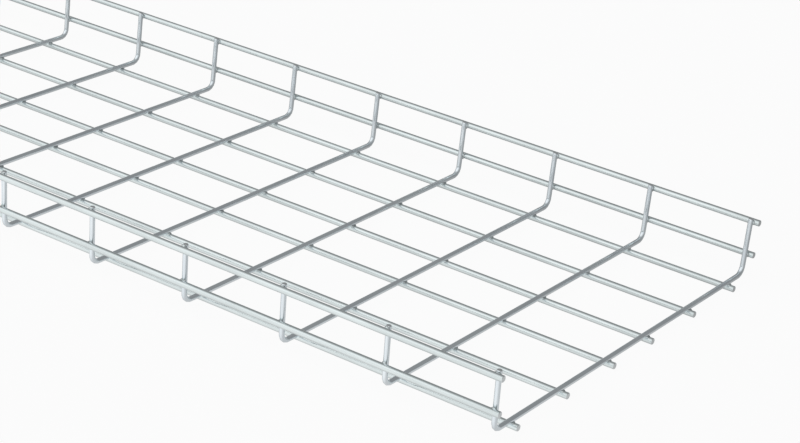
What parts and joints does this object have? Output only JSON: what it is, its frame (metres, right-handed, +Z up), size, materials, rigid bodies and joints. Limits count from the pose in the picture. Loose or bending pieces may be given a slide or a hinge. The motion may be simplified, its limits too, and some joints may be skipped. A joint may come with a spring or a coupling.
{
  "type": "wire mesh cable basket",
  "caption": "U-shaped cable tray in a straight stock length: long galvanised steel wires welded to the outside of bent cross wires, open at the top and at both ends.",
  "frame": {"origin": "middle of the footprint, on the plane that the undersides of the floor wires touch", "axes": "+X along the tray, +Y across it, +Z up out of its open top"},
  "size_m": [3, 0.4098, 0.0591],
  "materials": {
    "long_wire": "bright zinc coating, semi-gloss, faint drawing lines along the wire",
    "cross_wire": "bright zinc coating, slightly darker and bluer, semi-gloss"
  },
  "bodies": {
    "root": {"rim_wire_front": "long_wire", "side_wire_front": "long_wire", "floor_wire_1": "long_wire", "floor_wire_2": "long_wire", "floor_wire_3": "long_wire", "floor_wire_4": "long_wire", "floor_wire_5": "long_wire", "floor_wire_6": "long_wire", "side_wire_back": "long_wire", "rim_wire_back": "long_wire", "cross_wire_01": "cross_wire", "cross_wire_02": "cross_wire", "cross_wire_03": "cross_wire", "cross_wire_04": "cross_wire", "cross_wire_05": "cross_wire", "cross_wire_06": "cross_wire", "cross_wire_07": "cross_wire", "cross_wire_08": "cross_wire", "cross_wire_09": "cross_wire", "cross_wire_10": "cross_wire", "cross_wire_11": "cross_wire", "cross_wire_12": "cross_wire", "cross_wire_13": "cross_wire", "cross_wire_14": "cross_wire", "cross_wire_15": "cross_wire", "cross_wire_16": "cross_wire", "cross_wire_17": "cross_wire", "cross_wire_18": "cross_wire", "cross_wire_19": "cross_wire", "cross_wire_20": "cross_wire", "cross_wire_21": "cross_wire", "cross_wire_22": "cross_wire", "cross_wire_23": "cross_wire", "cross_wire_24": "cross_wire", "cross_wire_25": "cross_wire", "cross_wire_26": "cross_wire", "cross_wire_27": "cross_wire", "cross_wire_28": "cross_wire", "cross_wire_29": "cross_wire", "cross_wire_30": "cross_wire", "cross_wire_31": "cross_wire"}
  },
  "joints": []
}
